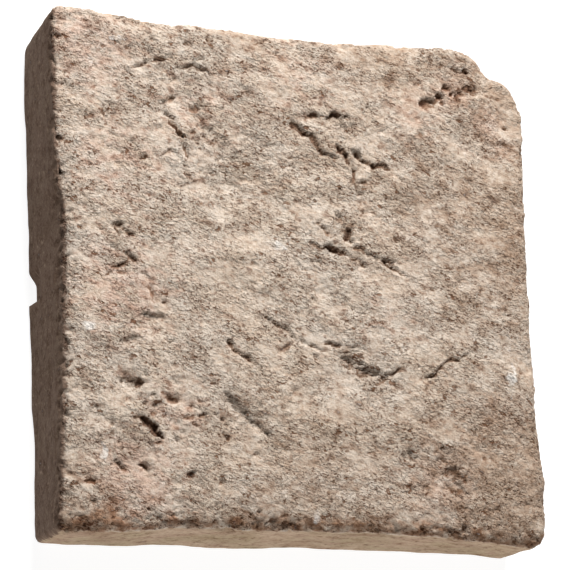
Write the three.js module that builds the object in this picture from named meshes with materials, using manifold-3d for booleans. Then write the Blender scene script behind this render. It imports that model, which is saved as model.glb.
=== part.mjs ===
// Ancient square brick: a hand-moulded slab of fired clay and chopped straw, lying on its smooth bed
// with its rough struck face up, one corner broken away.
//
// Millimetres, +Z up. The origin is the middle of the brick's box, on the plane that the bed lies on.
// The slab starts as a box lattice. Each lattice point is moved in four steps: the arrises of the face
// are rounded, the upright corners are rounded or broken, the sides are bent to their real lines, and
// the face is raised and hollowed. The deep gouges and the chip are then cut out of the solid.
import * as THREE from 'three';
import { mergeVertices } from 'three/addons/utils/BufferGeometryUtils.js';
import Module from 'manifold-3d';

// The slab before its sides are bent
const WIDTH = 333;
const LENGTH = 342;
const THICKNESS = 66;
const HALF_WIDTH = WIDTH / 2;
const HALF_LENGTH = LENGTH / 2;

// Arrises: the radius that rounds the face into the sides, and the small bevel around the bed
const ARRIS_RADIUS = 7;
const BED_BEVEL = 2.5;

// Lattice cells along X, Y and Z. The outer ARRIS_CELLS of the face lie on the rounded arris.
const CELLS_X = 43;
const CELLS_Y = 44;
const CELLS_Z = 7;
const ARRIS_CELLS = 2;
// A box lists its six sides in the order +X, -X, +Y, -Y, +Z, -Z, so the bed is the last
const BED_SIDE = 5;

// Facets of the low balls that cut the gouges and the chip
const SCOOP_SIDES = 6;
const SCOOP_RINGS = 4;
const CHIP_SIDES = 8;
const CHIP_RINGS = 6;

// Upright corners seen from above, with their radius at the face and at the bed
const CORNERS = {
  rearLeft: { faceRadius: 10, bedRadius: 12 },
  rearRight: { faceRadius: 47, bedRadius: 38 },
  frontRight: { faceRadius: 11, bedRadius: 8 },
  frontLeft: { faceRadius: 7, bedRadius: 5 },
};

// The rear right corner is broken away: a bite goes into its round by this share of the radius,
// centred on an angle and fading over a half-width, in degrees from +X
const BREAK_BITE = 0.21;
const BREAK_ANGLE = 54;
const BREAK_SPREAD = 19;

// The four sides, as [distance along the side, where the side stands] at the face and at the bed
const SIDES = {
  left: {
    face: [
      [-170, -159.5], [-125, -158], [-95, -157], [-60, -156], [36, -156.2], [56, -160.4], [84, -162.6],
      [171, -164.6],
    ],
    bed: [
      [-170, -159.4], [-115, -159.2], [-70, -161.6], [10, -163.6], [80, -164.9], [128, -166.8], [171, -166.6],
    ],
  },
  right: {
    face: [[-170, 168.2], [-141, 169], [-75, 164.8], [5, 162.4], [60, 163], [125, 165.2], [171, 165.4]],
    bed: [[-170, 166.5], [-60, 164.6], [60, 163.6], [171, 165.5]],
  },
  front: {
    face: [
      [-166, -169], [-127, -166.6], [-81, -163.6], [35, -163.4], [84, -165], [121, -167.6], [168, -171.5],
    ],
    bed: [
      [-166, -167], [-107, -167.8], [-85, -166.4], [-40, -168], [10, -166.4], [60, -167], [130, -168],
      [168, -170.5],
    ],
  },
  rear: {
    face: [[-166, 172.4], [-125, 171], [-92, 166.6], [-57, 166.8], [0, 163.8], [45, 164.4], [66, 166.4]],
    bed: [[-166, 169.4], [-60, 167.5], [40, 166], [168, 166.5]],
  },
};

// Broad relief of the face, as round swells and hollows: [x, y, radius, height]
const SWELLS = [
  [-33, 58, 27, -2.6],
  [24, 105, 12, -1.6],
  [12, 74, 15, -1.8],
  [45, -60, 14, -3.2],
  [-44, -104, 20, -3],
  [-18, -80, 24, 1.8],
  [-95, -34, 13, -2.4],
  [-112, -47, 8, -1.8],
  [-112, -73, 9, -2.2],
  [-115, -126, 15, -2.2],
  [122, -86, 19, -2.2],
  [103, -124, 15, -2.6],
  [73, -113, 11, -1.6],
  [-44, 4, 24, 1.6],
  [-66, 122, 16, -1.6],
  [60, 20, 40, 1.4],
  [30, 26, 12, -2.4],
  [162, 158, 46, -6],
  [165, -165, 55, -4],
];

// Where the face falls off towards a worn arris: depth at the arris, and how fast it fades inwards
const FRONT_FALL = { depth: 4.2, fade: 10 };
const REAR_FALL = { depth: 1.2, fade: 7 };
const RIGHT_FALL = { depth: 1.1, fade: 7 };
const LEFT_FALL = { depth: 0.5, fade: 4 };
// The middle of the left arris is worn more, over this stretch along Y
const LEFT_WEAR = { depth: 2.5, fade: 6, middle: -15, reach: 62 };

// Gouges left by straw and torn clay: their path over the face, width and depth
const GOUGES = [
  { path: [[-111, 133], [-104, 136], [-97, 138]], width: 4, depth: 3.5 },
  { path: [[-96, 139], [-89, 141], [-84, 142]], width: 4.5, depth: 4 },
  { path: [[-85, 100], [-82, 96], [-77, 89]], width: 6.5, depth: 6 },
  { path: [[-77, 88], [-75, 81], [-72, 76]], width: 3, depth: 3.5 },
  { path: [[-90, 112], [-82, 116]], width: 4, depth: 3 },
  { path: [[-71, 108], [-62, 112]], width: 5, depth: 3.5 },
  { path: [[-124, 28], [-118, 25], [-109, 21]], width: 4.5, depth: 3.5 },
  { path: [[-124, -1], [-116, 4]], width: 4, depth: 3 },
  { path: [[-106, -96], [-100, -99], [-92, -107]], width: 6.5, depth: 6.5 },
  { path: [[-2, 105], [4, 100], [12, 97], [18, 86], [28, 83]], width: 5, depth: 4.5 },
  { path: [[29, 92], [36, 83], [40, 71], [41, 61]], width: 4, depth: 4 },
  { path: [[38, 88], [47, 81], [54, 79], [65, 77]], width: 4, depth: 4 },
  { path: [[11, 23], [20, 22], [28, 18], [36, 17]], width: 5, depth: 4.5 },
  { path: [[34, 34], [35, 27]], width: 5, depth: 4 },
  { path: [[41, 21], [48, 18], [58, 14], [70, 8]], width: 3.5, depth: 3 },
  { path: [[-23, -27], [-13, -33], [-4, -40], [7, -45], [18, -48]], width: 3.5, depth: 3.5 },
  { path: [[16, -42], [27, -43], [37, -44]], width: 4, depth: 3.5 },
  { path: [[53, -64], [64, -60], [70, -52]], width: 3.5, depth: 3 },
  { path: [[-48, -45], [-41, -52], [-34, -57]], width: 3.5, depth: 3.5 },
  { path: [[-50, -82], [-42, -88], [-34, -96], [-25, -103]], width: 6, depth: 3 },
  { path: [[86, -62], [94, -57], [101, -50], [114, -46]], width: 3.5, depth: 3 },
];

// Pits torn out beside the broken corner, as [x, y, radius, depth]
const PITS = [
  [95, 125, 6.5, 6],
  [104, 131, 4.5, 5],
  [110, 136, 4, 4],
  [116, 131, 5, 5],
  [126, 139, 5.5, 5],
  [122, 150, 3.5, 4],
  [-107, -73, 4, 4],
];

// The chip knocked out of the bed's left arris: middle along Y, and its reach in, along and up
const CHIP = { y: -2.5, inward: 6, along: 12, up: 24 };

const clamp = THREE.MathUtils.clamp;
const lerp = THREE.MathUtils.lerp;

// Height of a bell curve of width 1, a distance away from its middle.
function bell(distance) {
  return Math.exp(-distance * distance);
}

// Reads a side's line at a place along it, easing from each point to the next.
function lineAt(points, along) {
  const held = clamp(along, points[0][0], points[points.length - 1][0]);
  const next = Math.max(1, points.findIndex(([place]) => place >= held));
  const [startPlace, startValue] = points[next - 1];
  const [endPlace, endValue] = points[next];
  return lerp(startValue, endValue, THREE.MathUtils.smoothstep(held, startPlace, endPlace));
}

// Lattice line number to its place across a side: the outer cells share the arris, the rest are even.
function latticePlace(line, cells, half) {
  const fromEdge = Math.min(line, cells - line);
  const side = line * 2 < cells ? -1 : 1;
  if (fromEdge <= ARRIS_CELLS) {
    return side * (half - ARRIS_RADIUS * fromEdge / ARRIS_CELLS);
  }
  const evenShare = (fromEdge - ARRIS_CELLS) / (cells / 2 - ARRIS_CELLS);
  return side * (half - ARRIS_RADIUS) * (1 - evenShare);
}

// Lattice row number to its height: the bed's bevel, even rows up the side, then the arris.
function latticeHeight(row) {
  if (row === 0) {
    return 0;
  }
  const fromTop = CELLS_Z - row;
  if (fromTop <= ARRIS_CELLS) {
    return THICKNESS - ARRIS_RADIUS * fromTop / ARRIS_CELLS;
  }
  const rowShare = (row - 1) / (CELLS_Z - ARRIS_CELLS - 1);
  return lerp(BED_BEVEL, THICKNESS - ARRIS_RADIUS, rowShare);
}

// Step 1: rounds the face's arrises by pulling each point of the square arris onto a circle,
// and draws the bed's lowest row in by its bevel.
function roundArris(x, y, z) {
  const acrossX = Math.max(0, Math.abs(x) - (HALF_WIDTH - ARRIS_RADIUS));
  const acrossY = Math.max(0, Math.abs(y) - (HALF_LENGTH - ARRIS_RADIUS));
  const outward = Math.max(acrossX, acrossY);
  const upward = Math.max(0, z - (THICKNESS - ARRIS_RADIUS));
  let pull = 1;
  if (outward > 0 && upward > 0) {
    pull = Math.max(outward, upward) / Math.hypot(outward, upward);
  } else if (z === 0) {
    pull = 1 - BED_BEVEL / ARRIS_RADIUS;
  }
  const drawnX = x - Math.sign(x) * acrossX * (1 - pull);
  const drawnY = y - Math.sign(y) * acrossY * (1 - pull);
  const drawnZ = z - upward * (1 - pull);
  return [drawnX, drawnY, drawnZ];
}

// The corner whose quarter of the slab a place is in.
function cornerOf(x, y) {
  if (y > 0) {
    return x > 0 ? CORNERS.rearRight : CORNERS.rearLeft;
  }
  return x > 0 ? CORNERS.frontRight : CORNERS.frontLeft;
}

// How much of its round a corner keeps in a direction: the broken one has its bite.
function cornerReach(corner, angle) {
  const bite = corner === CORNERS.rearRight ? BREAK_BITE : 0;
  return 1 - bite * bell((angle - BREAK_ANGLE) / BREAK_SPREAD);
}

// Step 2: maps each corner's square patch of lattice onto a quarter disc.
function roundCorner(x, y, level) {
  const corner = cornerOf(x, y);
  const radius = lerp(corner.bedRadius, corner.faceRadius, level);
  const patchX = Math.max(0, Math.abs(x) - (HALF_WIDTH - radius)) / radius;
  const patchY = Math.max(0, Math.abs(y) - (HALF_LENGTH - radius)) / radius;
  if (patchX === 0 || patchY === 0) {
    return [x, y];
  }
  const ring = Math.max(patchX, patchY);
  const angle = THREE.MathUtils.radToDeg(Math.atan2(patchY, patchX));
  const reach = lerp(1, cornerReach(corner, angle), ring * ring);
  const pull = radius * ring * reach / Math.hypot(patchX, patchY);
  const roundX = Math.sign(x) * (HALF_WIDTH - radius + patchX * pull);
  const roundY = Math.sign(y) * (HALF_LENGTH - radius + patchY * pull);
  return [roundX, roundY];
}

// Where one of the sides stands at a level between the bed, 0, and the face, 1.
function sideAt(side, along, level) {
  return lerp(lineAt(side.bed, along), lineAt(side.face, along), level);
}

// Step 3: stretches the straight slab between the bent lines of its sides.
function bendSides(x, y, level) {
  const shareX = x / WIDTH + 0.5;
  const shareY = y / LENGTH + 0.5;
  const bentX = lerp(sideAt(SIDES.left, y, level), sideAt(SIDES.right, y, level), shareX);
  const bentY = lerp(sideAt(SIDES.front, x, level), sideAt(SIDES.rear, x, level), shareY);
  return [bentX, bentY];
}

// Height of the face above its mean plane at a place: the swells, less the fall to each worn arris.
function faceRelief(x, y) {
  let height = 0;
  for (const [swellX, swellY, radius, rise] of SWELLS) {
    height += rise * bell(Math.hypot(x - swellX, y - swellY) / radius);
  }
  const fromLeft = Math.max(0, x - lineAt(SIDES.left.face, y));
  const fromRight = Math.max(0, lineAt(SIDES.right.face, y) - x);
  const fromFront = Math.max(0, y - lineAt(SIDES.front.face, x));
  const fromRear = Math.max(0, lineAt(SIDES.rear.face, x) - y);
  height -= FRONT_FALL.depth * Math.exp(-fromFront / FRONT_FALL.fade);
  height -= REAR_FALL.depth * Math.exp(-fromRear / REAR_FALL.fade);
  height -= RIGHT_FALL.depth * Math.exp(-fromRight / RIGHT_FALL.fade);
  height -= LEFT_FALL.depth * Math.exp(-fromLeft / LEFT_FALL.fade);
  const wear = bell(fromLeft / LEFT_WEAR.fade) * bell((y - LEFT_WEAR.middle) / LEFT_WEAR.reach);
  height -= LEFT_WEAR.depth * wear;
  return height;
}

// All four steps, from lattice line numbers to a point of the brick.
function brickPoint(column, line, row) {
  const flatX = latticePlace(column, CELLS_X, HALF_WIDTH);
  const flatY = latticePlace(line, CELLS_Y, HALF_LENGTH);
  const [roundX, roundY, z] = roundArris(flatX, flatY, latticeHeight(row));
  const level = z / THICKNESS;
  const [cornerX, cornerY] = roundCorner(roundX, roundY, level);
  const [x, y] = bendSides(cornerX, cornerY, level);
  return new THREE.Vector3(x, y, z * (1 + faceRelief(x, y) / THICKNESS));
}

// The lattice of the face and the four sides, with every point in its place.
function faceAndSides() {
  const lattice = new THREE.BoxGeometry(2, 2, 2, CELLS_X, CELLS_Y, CELLS_Z);
  const place = lattice.attributes.position;
  const lineNumber = (value, cells) => Math.round((value + 1) / 2 * cells);
  for (let i = 0; i < place.count; i += 1) {
    const column = lineNumber(place.getX(i), CELLS_X);
    const line = lineNumber(place.getY(i), CELLS_Y);
    const row = lineNumber(place.getZ(i), CELLS_Z);
    place.setXYZ(i, ...brickPoint(column, line, row));
  }
  const bedStart = lattice.groups[BED_SIDE].start;
  const triangles = Array.from(lattice.index.array.slice(0, bedStart));
  return { places: Array.from(place.array), triangles };
}

// The flat bed: the lowest ring of the sides, closed by one flat face.
function bedRing() {
  const ring = [];
  for (let column = 0; column < CELLS_X; column += 1) {
    ring.push(brickPoint(column, 0, 0));
  }
  for (let line = 0; line < CELLS_Y; line += 1) {
    ring.push(brickPoint(CELLS_X, line, 0));
  }
  for (let column = CELLS_X; column > 0; column -= 1) {
    ring.push(brickPoint(column, CELLS_Y, 0));
  }
  for (let line = CELLS_Y; line > 0; line -= 1) {
    ring.push(brickPoint(0, line, 0));
  }
  return ring;
}

// The closed slab, before its gouges: lattice and bed, with shared points merged.
function slabGeometry() {
  const { places, triangles } = faceAndSides();
  const ring = bedRing();
  const firstRingPoint = places.length / 3;
  for (const point of ring) {
    places.push(point.x, point.y, point.z);
  }
  for (const [a, b, c] of THREE.ShapeUtils.triangulateShape(ring, [])) {
    triangles.push(firstRingPoint + a, firstRingPoint + c, firstRingPoint + b);
  }
  const slab = new THREE.BufferGeometry();
  slab.setAttribute('position', new THREE.Float32BufferAttribute(places, 3));
  slab.setIndex(triangles);
  return mergeVertices(slab);
}

// A lens that cuts a scoop: a low ball stretched along a heading, sunk in the face at a place.
function scoop(x, y, heading, halfLength, halfWidth, depth) {
  const lens = new THREE.SphereGeometry(1, SCOOP_SIDES, SCOOP_RINGS);
  lens.rotateX(Math.PI / 2);
  lens.scale(halfLength, halfWidth, depth);
  lens.rotateZ(heading);
  lens.translate(x, y, THICKNESS + faceRelief(x, y));
  return lens;
}

// One scoop for each stretch of a gouge, overlapping at its bends.
function gougeScoops({ path, width, depth }) {
  const scoops = [];
  for (let i = 1; i < path.length; i += 1) {
    const [startX, startY] = path[i - 1];
    const [endX, endY] = path[i];
    const heading = Math.atan2(endY - startY, endX - startX);
    const halfLength = Math.hypot(endX - startX, endY - startY) / 2 + width / 2;
    scoops.push(scoop((startX + endX) / 2, (startY + endY) / 2, heading, halfLength, width / 2, depth));
  }
  return scoops;
}

// The chip's cutter: a low ball on the bed's left arris.
function chipCutter() {
  const ball = new THREE.SphereGeometry(1, CHIP_SIDES, CHIP_RINGS);
  ball.scale(CHIP.inward, CHIP.along, CHIP.up);
  ball.translate(sideAt(SIDES.left, CHIP.y, 0), CHIP.y, 0);
  return ball;
}

const wasm = await Module();
wasm.setup();

// Turns a closed three.js geometry into a solid that can be cut.
function toSolid(geometry) {
  geometry.deleteAttribute('normal');
  geometry.deleteAttribute('uv');
  const merged = mergeVertices(geometry);
  const vertProperties = new Float32Array(merged.attributes.position.array);
  const triVerts = new Uint32Array(merged.index.array);
  return new wasm.Manifold(new wasm.Mesh({ numProp: 3, vertProperties, triVerts }));
}

// Turns a solid back into a three.js geometry.
function toGeometry(solid) {
  const { vertProperties, triVerts } = solid.getMesh();
  const geometry = new THREE.BufferGeometry();
  geometry.setAttribute('position', new THREE.BufferAttribute(vertProperties, 3));
  geometry.setIndex(new THREE.BufferAttribute(triVerts, 1));
  return geometry;
}

// The whole brick: the slab less its gouges, pits and chip, centred on the origin.
function brickGeometry() {
  const cutters = GOUGES.flatMap(gougeScoops);
  for (const [x, y, radius, depth] of PITS) {
    cutters.push(scoop(x, y, 0, radius, radius, depth));
  }
  cutters.push(chipCutter());
  let solid = toSolid(slabGeometry());
  for (const cutter of cutters) {
    solid = solid.subtract(toSolid(cutter));
  }
  const geometry = toGeometry(solid);
  geometry.computeBoundingBox();
  const middle = geometry.boundingBox.getCenter(new THREE.Vector3());
  geometry.translate(-middle.x, -middle.y, 0);
  geometry.computeVertexNormals();
  return geometry;
}

const firedClay = new THREE.MeshStandardMaterial({ color: 0xb8a593, roughness: 0.95, metalness: 0 });

const brick = new THREE.Mesh(brickGeometry(), firedClay);
brick.name = 'brick';

const group = new THREE.Group();
group.add(brick);

export default group;
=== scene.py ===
"""Ancient square clay brick: its rough skin, its fired clay and the studio that it lies in.

The brick's skin is worked out with numpy in millimetres, from the same sizes as the solid that it
stands for: a grid over the face and a grid around the sides are rounded, bent and hollowed, then
gouged, pitted and roughened, and written to one closed mesh in metres.

The points of its gouges and pits were picked by eye on the photograph. A scratch script projected them
onto the face, and the lists hold its rounded results, some of them changed by hand. The lines of the
sides follow a few measured points of the photograph's outline. The patches were placed one by one.
"""

import math
from functools import partial

import bpy
import numpy as np
from bpy.props import FloatProperty, FloatVectorProperty, PointerProperty
from mathutils import Matrix, Vector


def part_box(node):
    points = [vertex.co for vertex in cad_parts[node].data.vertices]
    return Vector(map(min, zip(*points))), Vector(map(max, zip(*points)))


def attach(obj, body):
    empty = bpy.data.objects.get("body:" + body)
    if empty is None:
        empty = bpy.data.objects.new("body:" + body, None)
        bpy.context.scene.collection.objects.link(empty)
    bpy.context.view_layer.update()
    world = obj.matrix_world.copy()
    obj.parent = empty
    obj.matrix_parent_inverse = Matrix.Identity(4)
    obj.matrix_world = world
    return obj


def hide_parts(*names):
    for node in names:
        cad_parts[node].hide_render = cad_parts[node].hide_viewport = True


bl_info = {
    "name": "Ancient Square Brick",
    "version": (1, 0, 0),
    "blender": (4, 5, 0),
    "location": "3D View > Sidebar > Brick",
    "description": "Makes a worn square clay brick around its solid, and a plain studio for it",
    "category": "Add Mesh",
}

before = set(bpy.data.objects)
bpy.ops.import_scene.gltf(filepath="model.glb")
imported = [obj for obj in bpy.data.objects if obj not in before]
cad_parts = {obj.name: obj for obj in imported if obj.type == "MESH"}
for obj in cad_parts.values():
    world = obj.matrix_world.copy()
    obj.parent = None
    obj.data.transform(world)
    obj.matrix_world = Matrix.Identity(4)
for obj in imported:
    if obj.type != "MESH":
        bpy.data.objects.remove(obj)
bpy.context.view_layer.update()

# One millimetre in the scene's metres. Shapes are worked out in millimetres.
MM = 0.001
# Keeps a division by a length from being one by zero
TINY = 1e-9

# The slab before its sides are bent, and the rounding of its arrises
WIDTH, LENGTH, THICKNESS = 333.0, 342.0, 66.0
HALF_WIDTH, HALF_LENGTH = WIDTH / 2, LENGTH / 2
ARRIS_RADIUS = 7.0
BED_BEVEL = 2.5
ARRIS_CELLS = 5

# Upright corners: the quarter each stands in, and its radius at the face and at the bed
CORNERS = (
    ("rear left", -1, 1, 10.0, 12.0),
    ("rear right", 1, 1, 47.0, 38.0),
    ("front right", 1, -1, 11.0, 8.0),
    ("front left", -1, -1, 7.0, 5.0),
)
# The rear right corner is broken: the bite into its round, as a share of the radius, the angle
# of its middle from +X, and its half-width, in degrees
BREAK_BITE, BREAK_ANGLE, BREAK_SPREAD = 0.21, 54.0, 19.0

# The four sides, as places along the side and where it stands there, at the face and at the bed
LEFT_FACE = (
    (-170, -159.5), (-125, -158), (-95, -157), (-60, -156),
    (36, -156.2), (56, -160.4), (84, -162.6), (171, -164.6),
)
LEFT_BED = (
    (-170, -159.4), (-115, -159.2), (-70, -161.6), (10, -163.6),
    (80, -164.9), (128, -166.8), (171, -166.6),
)
RIGHT_FACE = (
    (-170, 168.2), (-141, 169), (-75, 164.8), (5, 162.4),
    (60, 163), (125, 165.2), (171, 165.4),
)
RIGHT_BED = ((-170, 166.5), (-60, 164.6), (60, 163.6), (171, 165.5))
FRONT_FACE = (
    (-166, -169), (-127, -166.6), (-81, -163.6), (35, -163.4),
    (84, -165), (121, -167.6), (168, -171.5),
)
FRONT_BED = (
    (-166, -167), (-107, -167.8), (-85, -166.4), (-40, -168),
    (10, -166.4), (60, -167), (130, -168), (168, -170.5),
)
REAR_FACE = (
    (-166, 172.4), (-125, 171.0), (-92, 166.6), (-57, 166.8),
    (0, 163.8), (45, 164.4), (66, 166.4),
)
REAR_BED = ((-166, 169.4), (-60, 167.5), (40, 166), (168, 166.5))

# Broad relief of the face, as round swells and hollows: x, y, radius, height
SWELLS = (
    (-33, 58, 27, -2.6), (24, 105, 12, -1.6), (12, 74, 15, -1.8), (45, -60, 14, -3.2),
    (-44, -104, 20, -3.0), (-18, -80, 24, 1.8), (-95, -34, 13, -2.4), (-112, -47, 8, -1.8),
    (-112, -73, 9, -2.2), (-115, -126, 15, -2.2), (122, -86, 19, -2.2), (103, -124, 15, -2.6),
    (73, -113, 11, -1.6), (-44, 4, 24, 1.6), (-66, 122, 16, -1.6), (60, 20, 40, 1.4),
    (30, 26, 12, -2.4), (162, 158, 46, -6.0), (165, -165, 55, -4.0),
)

# Fall of the face towards each worn arris: depth at the arris, and how fast it fades inwards
FRONT_FALL = (4.2, 10.0)
REAR_FALL = (1.2, 7.0)
RIGHT_FALL = (1.1, 7.0)
LEFT_FALL = (0.5, 4.0)
# The left arris is crisper than the others by this share of its rounding. At its two ends that eases
# off over this far to each side of the corner's diagonal.
LEFT_CRISPNESS, CRISPNESS_EASE = 0.55, 3.0
# The left arris is worn more around its middle: depth, fade inwards, middle along Y, reach
LEFT_WEAR = (2.5, 6.0, -15.0, 62.0)

# Gouges left by burnt-out straw and torn clay: width, depth and path over the face. The depth is that
# of the empty gouge, and crumbs then fill a part of the deep ones.
GOUGES = (
    (4.0, 3.2, ((-111, 133), (-107, 135), (-103, 136), (-98, 138))),
    (3.6, 3.6, ((-98, 138), (-93, 141), (-89, 141), (-84, 142))),
    (3.8, 2.4, ((-77, 137), (-73, 137), (-68, 138), (-66, 136), (-59, 135))),
    (3.0, 2.0, ((-68, 142), (-61, 143))),
    (5.6, 3.6, ((-89, 102), (-85, 102), (-81, 101))),
    (5.0, 5.2, ((-86, 101), (-83, 97), (-80, 93))),
    (3.8, 4.4, ((-82, 96), (-79, 92), (-76, 87))),
    (2.8, 3.0, ((-77, 89), (-76, 84), (-75, 80), (-73, 75))),
    (3.2, 3.0, ((-91, 111), (-86, 113), (-84, 114), (-81, 117))),
    (5.4, 3.2, ((-72, 108), (-67, 110), (-63, 111))),
    (3.0, 1.8, ((-63, 111), (-58, 113))),
    (3.0, 1.8, ((-91, 75), (-87, 78), (-84, 79), (-79, 75))),
    (2.8, 1.6, ((-73, 92), (-68, 93))),
    (2.8, 1.6, ((-66, 96), (-61, 97))),
    (3.4, 2.4, ((-104, 76), (-101, 73))),
    (4.2, 3.0, ((-126, 29), (-120, 28), (-116, 28))),
    (3.8, 4.2, ((-122, 27), (-120, 24), (-118, 21))),
    (3.4, 3.2, ((-117, 27), (-114, 24), (-112, 22), (-108, 21))),
    (2.8, 1.8, ((-128, 17), (-124, 14), (-118, 11))),
    (3.6, 3.6, ((-115, 11), (-111, 7), (-108, 4))),
    (3.4, 3.2, ((-112, 7), (-116, 3), (-120, 1), (-125, 0))),
    (2.8, 2.0, ((-128, -6), (-124, -2))),
    (3.0, 1.8, ((-121, -4), (-115, -3))),
    (2.8, 2.2, ((-106, -2), (-102, -5), (-98, -7))),
    (2.6, 2.0, ((-100, -9), (-98, -15), (-96, -23))),
    (3.4, 3.0, ((-112, -96), (-107, -95), (-103, -96))),
    (5.8, 8.0, ((-107, -96), (-102, -98), (-99, -100), (-96, -103), (-91, -108))),
    (3.2, 4.4, ((-101, -105), (-97, -104), (-93, -107))),
    (4.4, 3.0, ((-90, -80), (-86, -83), (-81, -84))),
    (3.2, 2.4, ((-99, -88), (-94, -87))),
    (2.8, 2.0, ((-106, -88), (-102, -86))),
    (3.4, 2.4, ((-88, -48), (-83, -45))),
    (3.8, 3.0, ((-53, -102), (-49, -107), (-46, -105))),
    (2.8, 1.8, ((-85, -107), (-80, -111))),
    (3.2, 3.4, ((-49, -43), (-46, -48), (-44, -50), (-41, -52))),
    (3.2, 3.6, ((-42, -52), (-37, -53), (-33, -58))),
    (2.6, 1.6, ((-34, -57), (-28, -62), (-25, -67))),
    (4.8, 4.4, ((-3, 106), (3, 101), (6, 98), (12, 98))),
    (4.2, 4.0, ((11, 98), (13, 94), (14, 91), (16, 88), (19, 85))),
    (2.8, 2.2, ((18, 86), (23, 84), (30, 83))),
    (3.0, 2.0, ((6, 107), (14, 112), (18, 111))),
    (4.2, 2.6, ((22, 110), (27, 112), (31, 112))),
    (3.0, 2.2, ((34, 112), (39, 110))),
    (3.4, 5.0, ((28, 93), (32, 87), (35, 85), (36, 81), (38, 77))),
    (3.2, 4.8, ((38, 78), (40, 75), (39, 70), (40, 66))),
    (2.8, 2.8, ((40, 66), (41, 62), (43, 59), (47, 60))),
    (2.6, 2.0, ((40, 66), (50, 68))),
    (3.2, 3.6, ((37, 88), (41, 87), (44, 84), (48, 80))),
    (3.2, 4.2, ((47, 81), (52, 80), (54, 78), (59, 81), (65, 77))),
    (2.6, 1.8, ((66, 75), (70, 73), (75, 70), (81, 63))),
    (2.6, 1.8, ((53, 90), (61, 85))),
    (2.8, 3.0, ((8, 24), (13, 22), (17, 21), (21, 22))),
    (4.2, 5.0, ((19, 22), (26, 20), (28, 18), (32, 19), (36, 16))),
    (3.0, 2.4, ((35, 15), (39, 14), (42, 13), (48, 9))),
    (4.6, 4.2, ((34, 35), (34, 31), (34, 27))),
    (3.4, 3.4, ((38, 21), (43, 22), (48, 18), (52, 16))),
    (2.8, 2.8, ((51, 17), (54, 16), (58, 15), (67, 14))),
    (2.8, 4.0, ((58, 15), (61, 12), (65, 10), (69, 8))),
    (2.6, 2.4, ((68, 8), (71, 6), (76, 4))),
    (2.6, 2.0, ((66, 32), (69, 26))),
    (3.6, 1.8, ((52, 43), (58, 43))),
    (3.0, 1.8, ((44, 47), (54, 47))),
    (2.8, 2.0, ((24, 46), (30, 40))),
    (2.8, 1.8, ((15, 36), (20, 29))),
    (2.8, 1.6, ((11, 36), (17, 39))),
    (2.8, 1.8, ((8, 12), (15, 12))),
    (2.2, 1.2, ((-6, 16), (4, 4))),
    (2.2, 1.2, ((-19, 11), (-7, -2))),
    (2.2, 1.1, ((0, -5), (13, -18))),
    (2.6, 2.6, ((-25, -26), (-20, -29), (-16, -31), (-12, -33))),
    (2.8, 3.0, ((-14, -32), (-9, -34), (-7, -36), (-5, -39), (-2, -42))),
    (2.4, 2.0, ((-3, -41), (-7, -44), (-12, -48), (-16, -51))),
    (2.6, 2.4, ((-1, -38), (1, -42), (5, -44), (9, -45), (13, -47), (19, -48))),
    (3.0, 3.0, ((15, -42), (21, -43), (28, -43))),
    (2.0, 1.3, ((28, -43), (35, -45), (40, -43))),
    (2.6, 1.8, ((12, -35), (18, -35))),
    (2.8, 2.0, ((8, -50), (14, -54))),
    (2.4, 1.8, ((25, -48), (38, -47))),
    (2.6, 2.0, ((33, -55), (44, -59), (51, -62))),
    (2.4, 1.8, ((41, -61), (56, -60))),
    (2.4, 1.8, ((24, -50), (36, -54), (46, -55))),
    (2.2, 1.5, ((27, -54), (38, -60), (46, -66))),
    (2.8, 3.0, ((52, -65), (59, -61), (63, -60), (68, -57), (69, -54), (70, -51))),
    (2.6, 2.2, ((50, -68), (57, -65), (65, -60))),
    (2.6, 2.0, ((49, -71), (47, -76), (47, -83))),
    (2.8, 2.8, ((85, -62), (89, -61), (93, -59), (94, -56), (97, -54), (101, -50))),
    (2.6, 2.4, ((100, -50), (106, -49), (109, -50), (112, -47), (116, -44))),
    (3.6, 3.4, ((88, 128), (93, 127), (101, 128))),
    (3.0, 3.0, ((125, 137), (131, 135))),
    (2.8, 3.2, ((112, 152), (118, 151), (123, 152))),
    (4.2, 4.4, ((121, 153), (127, 152))),
    (3.2, 2.6, ((149, 115), (154, 113))),
    (4.0, 3.0, ((-124, -122), (-114, -129))),
    (4.0, 3.0, ((-107, -124), (-101, -129))),
)
# Crumbs lie in gouges and pits deeper than this level, and leave open this share of what is deeper
CRUMB_LEVEL, OPEN_SHARE = 2.0, 0.55
# The powers that give a gouge its steep walls and a trough its soft ones, and the share of width and
# depth that each keeps at its ends
GOUGE_STEEPNESS, TROUGH_STEEPNESS = 0.8, 1.6
END_SHARE = 0.3
# Softer troughs, worn or pressed: width, depth and path
TROUGHS = (
    (11.0, 2.8, ((-51, -78), (-46, -84), (-42, -88), (-37, -93))),
    (8.0, 2.4, ((-36, -93), (-30, -98), (-22, -105))),
    (11.0, 2.4, ((28, -50), (36, -54), (43, -58), (54, -60))),
    (8.0, 2.2, ((-121, -49), (-105, -45))),
    (7.0, 1.8, ((-122, -72), (-108, -73))),
    (9.0, 1.2, ((-6, 108), (12, 110), (38, 109))),
    (8.0, 1.8, ((-107, -30), (-89, -31))),
    (10.0, 1.3, ((90, 125), (104, 130), (118, 134), (128, 138))),
)
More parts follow.
